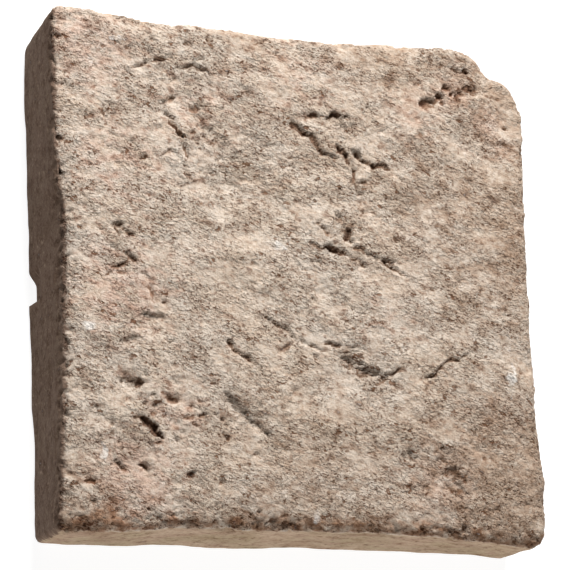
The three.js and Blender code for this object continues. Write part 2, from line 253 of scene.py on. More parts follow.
# Pits: x, y, radius, depth
PITS = (
    (-91, 107, 1.8, 1.8), (-117, 85, 2.0, 1.8), (-111, 85, 2.0, 1.8), (-109, 78, 2.0, 1.8),
    (-120, 69, 2.0, 1.8), (-66, 87, 2.0, 1.8), (-62, 91, 2.0, 1.8), (-103, 74, 3.0, 2.4),
    (-107, -73, 3.8, 4.2), (-77, -94, 2.2, 2.4), (-73, -93, 2.2, 2.2), (-65, -92, 2.8, 3.0),
    (-52, -95, 2.0, 1.8), (32, 105, 1.8, 2.0), (51, 119, 2.0, 2.0), (87, 104, 2.8, 3.2),
    (30, 35, 2.0, 2.2), (36, 26, 2.4, 2.2), (31, 19, 3.2, 4.4), (78, -31, 2.0, 2.0),
    (48, -71, 2.0, 1.8), (54, -73, 2.0, 1.6), (-91, -21, 2.2, 2.2), (-149, -15, 2.0, 2.4),
    (-86, 18, 2.0, 1.8), (-141, 131, 2.2, 2.6), (-136, 132, 2.0, 2.4), (-160, 151, 3.2, 3.4),
    (-73, 152, 2.6, 2.4), (-100, 145, 2.0, 1.8), (-97, 153, 1.8, 1.8), (-59, 157, 2.0, 2.0),
    (-45, 133, 2.4, 2.4), (88, 152, 2.4, 2.6), (107, 114, 2.2, 2.2), (92, 126, 4.4, 5.0),
    (97, 124, 3.4, 4.4), (102, 131, 3.2, 4.2), (105, 127, 2.6, 3.6), (108, 138, 3.4, 4.0),
    (112, 134, 2.6, 3.4), (116, 131, 3.2, 4.2), (119, 135, 2.4, 3.4), (124, 140, 3.6, 4.4),
    (129, 139, 2.6, 3.2), (138, 115, 5.0, 1.4), (147, 102, 4.0, 2.2),
    (-159, 84, 4.6, 2.6), (-157, 60, 2.6, 2.4), (-156, 118, 2.4, 2.0), (-138, -136, 3.2, 3.2),
    (-137, -149, 3.2, 2.0), (-75, -130, 2.8, 2.4), (-55, -134, 3.0, 2.6), (-22, -158, 3.4, 2.8),
    (110, -160, 3.4, 2.4), (102, -123, 6.0, 2.6), (108, -135, 6.0, 2.6), (73, -113, 5.0, 2.2),
    (92, -3, 2.2, 1.8), (-30, -117, 3.0, 1.8), (-12, 151, 2.0, 1.6), (-120, 112, 2.0, 1.6),
    (14, 140, 2.0, 1.6),
)
# Rims are ragged, because noise of this size shifts every place: by this share of a gouge's width, and
# by this much for pits, marks and troughs. Noise of the last size lets gouges and pits come and go.
RIM_NOISE = 6.0
GOUGE_RAGGEDNESS = 0.6
PIT_RAGGEDNESS = 3.0
FADING_SIZE = 4.5

# Crumbling of the face's arrises: the distance from the sharp arris up to which it is full, and how far
# it reaches past that onto the face and the sides
ARRIS_CORE, ARRIS_REACH = 3.0, 6.0
# Crumbs along every arris: size and depth
ARRIS_CRUMBS = (6.0, 1.3)
# Bites out of every arris, and notches in the left one, where noise rises from one level to another:
# size, depth, levels
ARRIS_BITES = (12.0, 2.0, (0.10, 0.40))
LEFT_NOTCHES = (4.0, 3.2, (0.0, 0.35))
# How far left of the middle the notches begin
NOTCHED_PART = (130, 150)
# The left and right arrises crumble less, by this share, from these distances off the middle. The
# right one crumbles fully again from these places along Y, beside the broken corner.
CALM_SHARE = 0.5
CALM_PART = (135, 155)
BROKEN_PART = (60, 110)

# The chip knocked out of the bed's left arris: its depth, where it slopes in and where it breaks off
# along Y, and the heights between which it runs out
CHIP_DEPTH = 5.2
CHIP_SLOPE = (-1.0, 9.5)
CHIP_BREAK = (-13.5, -11.0)
CHIP_TOP = (11.0, 28.0)

# Scattered marks of chopped straw and of burst pores on the face, in layers of jittered cells:
# cell size, share of cells that hold a mark, half-length, half-width, depth, seed
SCATTERED_MARKS = (
    (17.0, 0.42, 5.0, 1.2, 1.4, 11),
    (10.0, 0.52, 3.0, 1.0, 1.4, 12),
    (12.0, 0.36, 2.0, 1.4, 1.5, 13),
    (6.0, 0.46, 1.6, 1.1, 1.3, 14),
    (4.0, 0.50, 1.2, 0.8, 1.2, 15),
)
STRAW_HEADING, STRAW_SPREAD = math.radians(-36), math.radians(48)
# The smallest mark's size and the shallowest mark's depth, as shares of the full ones
LEAST_MARK_SIZE, LEAST_MARK_DEPTH = 0.5, 0.4

# Waves of the face, as the maker's hand left it: size and height
HAND_WAVES = (38.0, 2.2)
# Torn layers of clay: size of the torn areas, and for each layer the level of a wandering noise past
# which it is gone, and its thickness. The slope at a layer's edge takes this much of the noise.
TORN_SIZE = 20.0
TORN_LAYERS = ((-0.32, 0.4), (-0.10, 0.5), (0.10, 0.5), (0.30, 0.7))
TORN_EDGE = 0.06
# Crumbly lumps: size and height, and the share of it that is their mean and is taken off
LUMPS = ((14.0, 0.6), (6.0, 0.3), (3.2, 0.6))
LUMP_MEAN = 0.2

# Patches where a calm crust is left between rougher ground: size, and how much they change the
# roughness. Then the least and the most that the roughness can be.
CRUST_SIZE, CRUST_CHANGE = 26.0, 0.7
ROUGHNESS_LIMITS = (0.3, 2.0)
# The marks are deeper along the front, fading inwards over this length, and in the soiled spots
FRONT_CRUMBLING, FRONT_CRUMBLING_FADE = 0.6, 12.0
SPOT_CRUMBLING = 0.6
# Where the face is rougher or calmer than its mean: x, y, radius, change
UNEVENNESS = (
    (-95, 115, 62, 0.35), (-132, 0, 52, -0.45), (-105, -105, 62, 0.40), (135, 140, 36, 0.35),
    (28, 26, 34, 0.30), (25, 85, 36, 0.25), (115, -40, 70, -0.35), (50, -120, 55, -0.25),
    (-30, 40, 34, -0.20), (120, 60, 44, -0.25), (-46, 82, 16, 0.6), (-15, 67, 14, 0.6),
    (102, -122, 28, 0.9), (0, 150, 44, -0.3),
)
# The face was struck off from the front to the rear, which dragged the clay and left each mark with a
# steep rear wall and a gentle front one: how much nearer the rear wall and further the front one is
REAR_STEEPNESS, FRONT_GENTLENESS = 1.35, 0.8
# The face ends and the sides begin where the upright part of the normal falls through these values
FACE_EDGE = (0.1, 0.5)

# Level streaks that the mould left on the sides: cells of noise through, along and up a side, height,
# and the height above the bed from which they are full
STREAK_CELLS = (30.0, 55.0, 8.0)
STREAK_HEIGHT = 0.35
STREAKED_FROM = 4.0
# Sway of the sides: size and height
SIDE_SWAY = (24.0, 0.8)
# The least height of all but the bed's rim, so that nothing touches the floor beside the bed
LEAST_LIFT = 0.05

# Seeds of the noises. A fractal noise also takes the next seed for each further octave.
SEEDS = {
    "rim x": 21, "rim y": 31, "fading": 35, "waves": 41, "crust": 45, "crumbs": 71, "bites": 75,
    "notches": 77, "streaks": 81, "sway": 91, "lime x": 101, "lime y": 111, "torn": 141, "lumps": 151,
}
# How many random directions the noise has, and how many sets of chances the marks have, before they
# repeat: powers of two
NOISE_TABLE, MARK_TABLE = 256, 1024

# What each point of the mesh says about its place, for the clay's colours and the shade painted into them
STAINS = ("rough", "hollow_dirt_and_shade", "crease_dust_and_shade", "blush", "brown", "lime", "soiled", "dusky_and_shade")
# The darkening of hollows, partly dirt and partly painted shade, begins at this depth and is full this
# much deeper. Troughs count by this share.
HOLLOW_FROM, HOLLOW_RANGE, TROUGH_STAIN = 0.5, 3.0, 0.4
# Creases between lumps are darkened below this height, with dust and painted shade
CREASE_LEVEL = 0.35
# Soil on the front margin of the face: its strength, and the distances inwards where it is full and gone
SOILED_STRENGTH, SOILED_MARGIN = 0.7, (3, 16)
# The left side is darkened, partly as a darker, soiled skin and partly as painted shade, up to these
# distances inwards from it
DUSKY_AND_SHADE_MARGIN = (1.0, 5.5)

# Clay blushes: x, y, radius and strength of pinker patches of the face
BLUSHES = (
    (-140, 150, 45, 0.6), (-118, 70, 40, 0.5), (-118, -15, 42, 0.6), (-112, -135, 36, 0.7),
    (-60, 110, 40, 0.35), (100, -135, 32, 0.8), (140, -95, 26, 0.5), (138, 116, 14, 1.0),
    (147, 100, 12, 0.7), (84, 120, 26, 0.5), (112, 134, 18, 0.9), (0, 140, 46, 0.4),
    (-84, -90, 26, 0.5), (60, -20, 26, 0.3), (120, 150, 14, 0.6),
)
# Browner, darker patches of the face, the largest towards its right side: x, y, radius and strength
BROWN_PATCHES = (
    (150, -140, 85, 1.0), (160, 30, 80, 0.8), (165, 150, 80, 0.8), (10, -145, 80, 0.55),
    (100, 60, 50, 0.6), (-20, 80, 34, 0.3), (-160, -165, 50, 0.6), (40, 40, 24, 0.3),
    (60, 168, 50, 0.7), (-30, 170, 40, 0.5), (-100, 172, 40, 0.3), (-156, -164, 22, 1.0),
)
# Reddish brown, crumbled spots along the front: x, y, radius and strength
SOILED_PATCHES = (
    (-128, -162, 15, 0.9), (-28, -161, 13, 0.9), (-96, -162, 9, 0.7), (-138, -137, 7, 0.6),
    (60, -163, 9, 0.5),
)
# Whitish lime smears: x, y, half-length along X, half-length along Y, strength
LIME_SMEARS = (
    (-13, 20, 9, 4, 0.5), (-140, -39, 7, 3.5, 0.7), (146, -62, 3.5, 16, 0.7),
    (-120, 152, 8, 3, 0.6), (-137, 136, 4, 4, 0.6), (-130, -118, 3, 14, 0.5),
    (8, -154, 5, 5, 0.5), (145, -40, 3, 5, 0.5),
)
# A smear fades between these shares of its half-length
SMEAR_EDGE = (0.4, 1.2)


def bell(distance):
    """Height of a bell curve of width 1 at a distance from its middle: e to minus its square."""
    return np.exp(-np.square(distance))


def ease(value, start, end):
    """A smooth step: 0 up to start, 1 from end, and 3t^2 - 2t^3 between them."""
    share = np.clip((value - start) / (end - start), 0, 1)
    return share * share * (3 - 2 * share)


def mix(first, second, share):
    """first where share is 0, second where it is 1, and in line between them."""
    return first + (second - first) * share


def line_at(points, along):
    """Where a side's line stands at places along it, easing from each named point to the next."""
    places, values = np.array(points, float).T
    held = np.clip(along, places[0], places[-1])
    after = np.clip(np.searchsorted(places, held), 1, len(places) - 1)
    share = ease((held - places[after - 1]) / (places[after] - places[after - 1]), 0, 1)
    return mix(values[after - 1], values[after], share)


def gradient_noise(points, cell, seed):
    """Smooth noise of about -0.7 to 0.7. Each corner of the cell around a point has a fixed random
    direction, which is multiplied with the way from the corner to the point, and the eight results
    are blended by 6t^5 - 15t^4 + 10t^3. cell is one size in mm, or one for each axis."""
    random = np.random.default_rng(seed)
    order = random.permutation(NOISE_TABLE)
    directions = random.normal(size=(NOISE_TABLE, 3))
    directions /= np.linalg.norm(directions, axis=1)[:, None]
    place = points / np.asarray(cell, float)
    corner = np.floor(place).astype(np.int64)
    inside = place - corner
    blend = inside ** 3 * (inside * (inside * 6 - 15) + 10)
    total = np.zeros(len(points))
    last = NOISE_TABLE - 1
    for step in np.ndindex(2, 2, 2):
        x, y, z = (corner + step).T & last
        direction = directions[order[(order[(order[x] + y) & last] + z) & last]]
        weight = np.prod(np.where(step, blend, 1 - blend), axis=1)
        total += weight * np.einsum("ij,ij->i", direction, inside - step)
    return total


def fractal_noise(points, cell, seed, octaves):
    """Gradient noise added up over octaves, each half the size and half the height of the last."""
    total = np.zeros(len(points))
    for octave in range(octaves):
        total += gradient_noise(points, np.asarray(cell, float) / 2 ** octave, seed + octave) / 2 ** octave
    return total


def struck(distance, rearwards):
    """A distance from the middle of a mark, stretched to the rear and shortened to the front."""
    return distance * np.where(rearwards > 0, REAR_STEEPNESS, FRONT_GENTLENESS)


def scattered_marks(x, y, cell, share, half_length, half_width, depth, seed):
    """Depth of scattered marks. The face is cut into square cells, each of which holds at most
    one mark with its own random place, heading and size. A mark is an ellipse whose depth is the
    square root of 1 - r^2. Each point looks at the nine cells around it and keeps the deepest."""
    random = np.random.default_rng(seed)
    order = random.permutation(MARK_TABLE)
    chance = random.random((MARK_TABLE, 6))
    last = MARK_TABLE - 1
    cell_x = np.floor(x / cell).astype(np.int64)
    cell_y = np.floor(y / cell).astype(np.int64)
    deepest = np.zeros(len(x))
    for step_x, step_y in np.ndindex(3, 3):
        near_x, near_y = cell_x + step_x - 1, cell_y + step_y - 1
        present, along, across, turn, size, depth_share = chance[
            order[(order[near_x & last] + near_y) & last]
        ].T
        way_x = x - (near_x + along) * cell
        way_y = y - (near_y + across) * cell
        heading = STRAW_HEADING + STRAW_SPREAD * (2 * turn - 1)
        long_way = way_x * np.cos(heading) + way_y * np.sin(heading)
        cross_way = way_y * np.cos(heading) - way_x * np.sin(heading)
        scale = mix(LEAST_MARK_SIZE, 1, size)
        cross_way = struck(cross_way, np.sign(way_y))
        ring = np.hypot(long_way / (half_length * scale), cross_way / (half_width * scale))
        dent = depth * mix(LEAST_MARK_DEPTH, 1, depth_share) * np.sqrt(np.clip(1 - ring ** 2, 0, 1))
        deepest = np.maximum(deepest, np.where(present < share, dent, 0))
    return deepest


def along_path(x, y, path):
    """Distance of each point from a path of straight stretches, as a struck mark measures it, and how
    far along the whole path its nearest place is, from 0 to 1."""
    points = np.array(path, float)
    lengths = np.linalg.norm(np.diff(points, axis=0), axis=1)
    starts = np.concatenate([[0], np.cumsum(lengths)])
    nearest = np.full(len(x), np.inf)
    reached = np.zeros(len(x))
    for start, end, length, run in zip(points[:-1], points[1:], lengths, starts):
        heading = (end - start) / length
        along = np.clip((x - start[0]) * heading[0] + (y - start[1]) * heading[1], 0, length)
        way_x = x - start[0] - along * heading[0]
        way_y = y - start[1] - along * heading[1]
        distance = struck(np.hypot(way_x, way_y), way_y)
        closer = distance < nearest
        nearest = np.where(closer, distance, nearest)
        reached = np.where(closer, (run + along) / starts[-1], reached)
    return nearest, reached


def gouge_depth(x, y, width, depth, path, steepness):
    """Depth of a gouge: across it 1 - r^2 to the power of steepness, where r is the distance over the
    half-width. Both width and depth taper to END_SHARE at its two ends, as the root of 1 - s^3, where s
    goes from 0 in the middle of the path to 1 at its ends."""
    distance, reached = along_path(x, y, path)
    taper = mix(END_SHARE, 1, np.sqrt(np.clip(1 - np.abs(2 * reached - 1) ** 3, 0, 1)))
    ring = distance / (width / 2 * taper)
    return depth * taper * np.clip(1 - ring ** 2, 0, 1) ** steepness


def face_grid_lines(half, step):
    """Places of the grid's lines across the slab: a few close ones in each arris, then even ones."""
    arris = np.linspace(half, half - ARRIS_RADIUS, ARRIS_CELLS, endpoint=False)
    core_half = half - ARRIS_RADIUS
    core = np.linspace(-core_half, core_half, round(2 * core_half / step) + 1)
    return np.concatenate([-arris, core, arris[::-1]])


def side_grid_rows(step):
    """Heights of the rows around the sides, from just under the face's rim down to the bed."""
    arris = THICKNESS - ARRIS_RADIUS * np.arange(1, ARRIS_CELLS + 1) / ARRIS_CELLS
    even = np.linspace(arris[-1], BED_BEVEL, round((arris[-1] - BED_BEVEL) / step) + 1)
    return np.concatenate([arris, even[1:], [0.0]])


def flat_slab(step, side_step):
    """The straight slab as points and quads: a grid of lines over the face, and rows of the face's rim
    carried down the four sides. The last row, the rim of the bed, is closed by one flat polygon."""
    lines_x = face_grid_lines(HALF_WIDTH, step)
    lines_y = face_grid_lines(HALF_LENGTH, step)
    rows = side_grid_rows(side_step)
    count_x, count_y = len(lines_x), len(lines_y)
    number = np.arange(count_x * count_y).reshape(count_y, count_x)
    face_x, face_y = np.meshgrid(lines_x, lines_y)
    face = np.column_stack([face_x.ravel(), face_y.ravel(), np.full(number.size, THICKNESS)])
    rim = np.concatenate([number[0, :-1], number[:-1, -1], number[-1, :0:-1], number[:0:-1, 0]])
    rim_places = face[rim]
    around = len(rim)
    bands = np.repeat(rim_places[None], len(rows), axis=0)
    bands[:, :, 2] = rows[:, None]
    points = np.concatenate([face, bands.reshape(-1, 3)])
    ring = np.concatenate([rim[None], number.size + np.arange(len(rows) * around).reshape(-1, around)])
    face_quads = np.stack([number[:-1, :-1], number[:-1, 1:], number[1:, 1:], number[1:, :-1]], -1)
    upper, lower = ring[:-1], ring[1:]
    band_quads = np.stack([upper, lower, np.roll(lower, -1, 1), np.roll(upper, -1, 1)], -1)
    quads = np.concatenate([face_quads.reshape(-1, 4), band_quads.reshape(-1, 4)])
    return points, quads, ring[-1]


def round_arrises(points):
    """Rounds the face's arrises, by drawing each point of the square arris onto a circle around its
    core line, and draws the bed's rim in by its bevel."""
    across_x = np.maximum(0, np.abs(points[:, 0]) - (HALF_WIDTH - ARRIS_RADIUS))
    across_y = np.maximum(0, np.abs(points[:, 1]) - (HALF_LENGTH - ARRIS_RADIUS))
    outward = np.maximum(across_x, across_y)
    upward = np.maximum(0, points[:, 2] - (THICKNESS - ARRIS_RADIUS))
    size = np.hypot(outward, upward)
    in_arris = (outward > 0) & (upward > 0)
    pull = np.where(in_arris, np.maximum(outward, upward) / np.maximum(size, TINY), 1)
    leftness = (points[:, 0] < 0) * ease(across_x - across_y, -CRISPNESS_EASE, CRISPNESS_EASE)
    pull = mix(pull, 1, LEFT_CRISPNESS * leftness)
    pull = np.where(points[:, 2] <= 0, 1 - BED_BEVEL / ARRIS_RADIUS, pull)
    drawn = points.copy()
    drawn[:, 0] -= np.sign(points[:, 0]) * across_x * (1 - pull)
    drawn[:, 1] -= np.sign(points[:, 1]) * across_y * (1 - pull)
    drawn[:, 2] -= upward * (1 - pull)
    return drawn


def round_corners(points, level):
    """Maps each upright corner's square patch onto a quarter disc, ring by ring. The broken corner's
    disc has a bite whose depth is a bell curve of the angle."""
    rounded = points.copy()
    for name, side_x, side_y, face_radius, bed_radius in CORNERS:
        radius = mix(bed_radius, face_radius, level)
        patch_x = (points[:, 0] * side_x - (HALF_WIDTH - radius)) / radius
        patch_y = (points[:, 1] * side_y - (HALF_LENGTH - radius)) / radius
        inside = (patch_x > 0) & (patch_y > 0)
        patch_x, patch_y = np.maximum(patch_x, TINY), np.maximum(patch_y, TINY)
        rings = np.maximum(patch_x, patch_y)
        bite = 0.0
        if name == "rear right":
            angle = np.degrees(np.arctan2(patch_y, patch_x))
            bite = BREAK_BITE * bell((angle - BREAK_ANGLE) / BREAK_SPREAD) * rings ** 2
        pull = radius * rings * (1 - bite) / np.hypot(patch_x, patch_y)
        round_x = side_x * (HALF_WIDTH - radius + patch_x * pull)
        round_y = side_y * (HALF_LENGTH - radius + patch_y * pull)
        rounded[:, 0] = np.where(inside, round_x, rounded[:, 0])
        rounded[:, 1] = np.where(inside, round_y, rounded[:, 1])
    return rounded


def bend_sides(points, level):
    """Stretches the straight slab between the bent lines of its four sides."""
    x, y = points[:, 0], points[:, 1]
    left = mix(line_at(LEFT_BED, y), line_at(LEFT_FACE, y), level)
    right = mix(line_at(RIGHT_BED, y), line_at(RIGHT_FACE, y), level)
    front = mix(line_at(FRONT_BED, x), line_at(FRONT_FACE, x), level)
    rear = mix(line_at(REAR_BED, x), line_at(REAR_FACE, x), level)
    bent = points.copy()
    bent[:, 0] = mix(left, right, x / WIDTH + 0.5)
    bent[:, 1] = mix(front, rear, y / LENGTH + 0.5)
    return bent


def broad_relief(x, y):
    """Height of the face above its mean plane: bell-shaped swells, less the fall to each arris."""
    height = np.zeros(len(x))
    for swell_x, swell_y, radius, rise in SWELLS:
        height += rise * bell(np.hypot(x - swell_x, y - swell_y) / radius)
    from_left = np.maximum(x - line_at(LEFT_FACE, y), 0)
    falls = (
        (FRONT_FALL, np.maximum(y - line_at(FRONT_FACE, x), 0)),
        (REAR_FALL, np.maximum(line_at(REAR_FACE, x) - y, 0)),
        (RIGHT_FALL, np.maximum(line_at(RIGHT_FACE, y) - x, 0)),
        (LEFT_FALL, from_left),
    )
    for (depth, fade), inwards in falls:
        height -= depth * np.exp(-inwards / fade)
    depth, fade, middle, reach = LEFT_WEAR
    return height - depth * bell(from_left / fade) * bell((y - middle) / reach)


def point_normals(points, quads):
    """The mean of the normals of the quads around each point, from the cross product of diagonals."""
    corners = points[quads]
    crosses = np.cross(corners[:, 2] - corners[:, 0], corners[:, 3] - corners[:, 1])
    normals = np.zeros_like(points)
    for axis in range(3):
        shares = np.repeat(crosses[:, axis], 4)
        normals[:, axis] = np.bincount(quads.ravel(), shares, minlength=len(points))
    return normals / np.maximum(np.linalg.norm(normals, axis=1), TINY)[:, None]


def gouged(points, strength):
    """Depth of the named gouges and pits, of the scattered marks and of the soft troughs at each point
    of the face. Places are first shifted by fine noise, so that rims are ragged, by more in a wide gouge
    than in a crack. The depth of gouges and pits comes and goes, and crumbs fill a part of deep ones.
    strength makes the scattered marks deeper or shallower."""
    shift_x = fractal_noise(points, RIM_NOISE, SEEDS["rim x"], 3)
    shift_y = fractal_noise(points, RIM_NOISE, SEEDS["rim y"], 3)
    sharp = np.zeros(len(points))
    for width, depth, path in GOUGES:
        x = points[:, 0] + GOUGE_RAGGEDNESS * width * shift_x
        y = points[:, 1] + GOUGE_RAGGEDNESS * width * shift_y
        sharp = np.maximum(sharp, gouge_depth(x, y, width, depth, path, GOUGE_STEEPNESS))
    x = points[:, 0] + PIT_RAGGEDNESS * shift_x
    y = points[:, 1] + PIT_RAGGEDNESS * shift_y
    for pit_x, pit_y, radius, depth in PITS:
        ring = struck(np.hypot(x - pit_x, y - pit_y), y - pit_y) / radius
        sharp = np.maximum(sharp, depth * np.clip(1 - ring ** 2, 0, 1))
    sharp *= 1 + gradient_noise(points, FADING_SIZE, SEEDS["fading"])
    sharp = np.minimum(sharp, mix(CRUMB_LEVEL, sharp, OPEN_SHARE))
    for layer in SCATTERED_MARKS:
        sharp = np.maximum(sharp, strength * scattered_marks(x, y, *layer))
    soft = np.zeros(len(points))
    for width, depth, path in TROUGHS:
        soft = np.maximum(soft, gouge_depth(x, y, width, depth, path, TROUGH_STEEPNESS))
    return sharp, soft


def torn_depth(points):
    """Depth of the torn layers below their middle: each is gone where a wandering noise is past its
    level, and its edge is a short slope."""
    wandering = fractal_noise(points, TORN_SIZE, SEEDS["torn"], 4)
    return sum(thick * (ease(wandering, level, level + TORN_EDGE) - 0.5) for level, thick in TORN_LAYERS)


def lump_height(points):
    """Height of crumbly lumps: noise folded up at zero leaves round lumps parted by sharp creases."""
    return sum(
        height * (np.abs(gradient_noise(points, size, SEEDS["lumps"] + place)) - LUMP_MEAN)
        for place, (size, height) in enumerate(LUMPS)
    )


def patches(x, y, places):
    """Strength of bell-shaped patches of colour: the strongest one at each point."""
    strongest = np.zeros(len(x))
    for patch_x, patch_y, radius, strength in places:
        strongest = np.maximum(strongest, strength * bell(np.hypot(x - patch_x, y - patch_y) / radius))
    return strongest


def face_roughness(points):
    """How rough the face is, about 1: bell-shaped patches of rougher and calmer ground, and patches of
    calm crust by noise."""
    x, y, _ = points.T
    rough = np.ones(len(points))
    for patch_x, patch_y, radius, change in UNEVENNESS:
        rough += change * bell(np.hypot(x - patch_x, y - patch_y) / radius)
    crust = gradient_noise(points, CRUST_SIZE, SEEDS["crust"])
    return np.clip(rough + CRUST_CHANGE * crust, *ROUGHNESS_LIMITS)


def chip_depth(points):
    """Depth of the chip at the bed's left arris: a slope in from the rear, a sudden break at the front,
    and an easing out upwards."""
    along, up = points[:, 1], points[:, 2]
    depth = CHIP_DEPTH * (1 - ease(along, *CHIP_SLOPE)) * ease(along, *CHIP_BREAK)
    return depth * (1 - ease(up, *CHIP_TOP)) * (points[:, 0] < 0)


def arris_nearness(points):
    """1 at the face's arrises and 0 away from them: a bell curve of the distance from the line where
    the face and the side would meet if the arris were sharp."""
    x, y, z = points.T
    inwards = np.minimum.reduce([
        x - line_at(LEFT_FACE, y),
        line_at(RIGHT_FACE, y) - x,
        y - line_at(FRONT_FACE, x),
        line_at(REAR_FACE, x) - y,
    ])
    below = THICKNESS + broad_relief(x, y) - z
    return bell(np.maximum(np.hypot(inwards, below) - ARRIS_CORE, 0) / ARRIS_REACH)


def arris_crumbling(points):
    """Depth that is crumbled off the arrises: crumbs everywhere, as noise folded up at zero, bites where
    noise rises between its levels, and notches of the same kind in the left arris."""
    x, y, _ = points.T
    calm = ease(np.abs(x), *CALM_PART) * (1 - ease(x, 0, 1) * ease(y, *BROKEN_PART))
    size, height = ARRIS_CRUMBS
    depth = height * np.abs(fractal_noise(points, size, SEEDS["crumbs"], 3))
    size, height, levels = ARRIS_BITES
    depth += height * ease(fractal_noise(points, size, SEEDS["bites"], 3), *levels)
    size, height, levels = LEFT_NOTCHES
    notches = height * ease(gradient_noise(points, size, SEEDS["notches"]), *levels)
    depth += notches * ease(-x, *NOTCHED_PART)
    return arris_nearness(points) * (1 - CALM_SHARE * calm) * depth


def side_relief(points, normals):
    """Height of the sides' sway and of their level streaks, which are longer along a side than through
    it and fade out above the bed."""
    size, height = SIDE_SWAY
    sway = height * fractal_noise(points, size, SEEDS["sway"], 3)
    faces_x = np.abs(normals[:, 0]) > np.abs(normals[:, 1])
    through, along, up = STREAK_CELLS
    cells = np.where(faces_x[:, None], (through, along, up), (along, through, up))
    streaks = STREAK_HEIGHT * fractal_noise(points / cells, 1.0, SEEDS["streaks"], 2)
    return sway + streaks * ease(points[:, 2], 0, STREAKED_FROM)


def lime_smears(points):
    """Strength of the lime smears: ellipses with ragged rims, the strongest one at each point."""
    x = points[:, 0] + PIT_RAGGEDNESS * fractal_noise(points, RIM_NOISE, SEEDS["lime x"], 3)
    y = points[:, 1] + PIT_RAGGEDNESS * fractal_noise(points, RIM_NOISE, SEEDS["lime y"], 3)
    strongest = np.zeros(len(points))
    for smear_x, smear_y, half_x, half_y, strength in LIME_SMEARS:
        ring = np.hypot((x - smear_x) / half_x, (y - smear_y) / half_y)
        strongest = np.maximum(strongest, strength * (1 - ease(ring, *SMEAR_EDGE)))
    return strongest


def brick_form(step, side_step):
    """The smooth brick: the flat slab with its arrises and corners rounded, its sides bent and its face
    raised and hollowed. Heights are scaled, so that the bed stays flat."""
    flat, quads, bed_rim = flat_slab(step, side_step)
    points = round_arrises(flat)
    level = points[:, 2] / THICKNESS
    points = bend_sides(round_corners(points, level), level)
    points[:, 2] *= 1 + broad_relief(points[:, 0], points[:, 1]) / THICKNESS
    return points, quads, bed_rim


def brick_skin(step, side_step):
    """The whole skin in millimetres: points, quads, the bed's rim, and the stains of each point. Every
    point of the smooth brick is moved along its normal, on the face by waves, lumps, torn layers and
    gouges, and on the sides by sway and streaks."""
    points, quads, bed_rim = brick_form(step, side_step)
    normals = point_normals(points, quads)
    x, y, z = points.T
    on_face = ease(normals[:, 2], *FACE_EDGE)
    from_front = y - line_at(FRONT_FACE, x)

    strength = face_roughness(points)
    spots = patches(x, y, SOILED_PATCHES)
    along_front = np.exp(-np.maximum(from_front, 0) / FRONT_CRUMBLING_FADE)
    sharp, soft = gouged(points, strength + FRONT_CRUMBLING * along_front + SPOT_CRUMBLING * spots)
    lumps = lump_height(points)
    size, height = HAND_WAVES
    waves = height * fractal_noise(points, size, SEEDS["waves"], 2)
    offset = on_face * (waves + strength * (lumps - torn_depth(points)) - sharp - soft)
    offset += (1 - on_face) * side_relief(points, normals) - arris_crumbling(points)

    moved = points + normals * offset[:, None]
    moved[:, 0] += chip_depth(points)
    moved[:, 2] = np.where(z <= 0, 0.0, np.maximum(moved[:, 2], LEAST_LIFT))

    level = np.clip(z / THICKNESS, 0, 1)
    from_left = x - mix(line_at(LEFT_BED, y), line_at(LEFT_FACE, y), level)
    # Hollows are darkened by dirt and by painted shade
    hollow_dirt_and_shade = np.clip((sharp + TROUGH_STAIN * soft - HOLLOW_FROM) / HOLLOW_RANGE, 0, 1)
    stains = {
        "rough": on_face,
        "hollow_dirt_and_shade": on_face * hollow_dirt_and_shade,
        # Creases: dust and painted shade
        "crease_dust_and_shade": on_face * np.clip(CREASE_LEVEL - lumps, 0, 1),
        "blush": patches(x, y, BLUSHES),
        "brown": patches(x, y, BROWN_PATCHES),
        "lime": on_face * lime_smears(points),
        "soiled": on_face * np.maximum(SOILED_STRENGTH * (1 - ease(from_front, *SOILED_MARGIN)), spots),
        # The left side: partly a darker skin, partly painted shade
        "dusky_and_shade": 1 - ease(from_left, *DUSKY_AND_SHADE_MARGIN),
    }
    return moved, quads, bed_rim, stains


def fit_to_solid(points):
    """Fits the skin into the box of the solid that it stands for. Along each axis a point's distance
    from the skin's low end is scaled by the ratio of the two boxes, and laid off from the solid's."""
    low, high = (np.array(corner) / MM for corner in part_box("brick"))
    own_low, own_high = points.min(0), points.max(0)
    scale = (high - low) / (own_high - own_low)
    return (points - own_low) * scale + low


def mesh_from(name, points, quads, polygon, stains):
    """A mesh of quads and one polygon, in metres, with a value for each point under each stain name."""
    mesh = bpy.data.meshes.new(name)
    corners = np.concatenate([quads.ravel(), polygon]).astype(np.int32)
    starts = np.append(np.arange(len(quads)) * 4, len(quads) * 4).astype(np.int32)
    mesh.vertices.add(len(points))
    mesh.vertices.foreach_set("co", (points * MM).astype(np.float32).ravel())
    mesh.loops.add(len(corners))
    mesh.loops.foreach_set("vertex_index", corners)
    mesh.polygons.add(len(starts))
    mesh.polygons.foreach_set("loop_start", starts)
    mesh.polygons.foreach_set("use_smooth", np.arange(len(starts)) < len(quads))
    for stain, values in stains.items():
        attribute = mesh.attributes.new(stain, "FLOAT", "POINT")
        attribute.data.foreach_set("value", values.astype(np.float32))
    mesh.update(calc_edges=True)
    mesh.validate()
    return mesh


def linear(hex_colour):
    """An sRGB hex colour as linear red, green, blue and an alpha of 1."""
    channels = [int(hex_colour[place:place + 2], 16) / 255 for place in (1, 3, 5)]
    return [c / 12.92 if c <= 0.04045 else ((c + 0.055) / 1.055) ** 2.4 for c in channels] + [1.0]


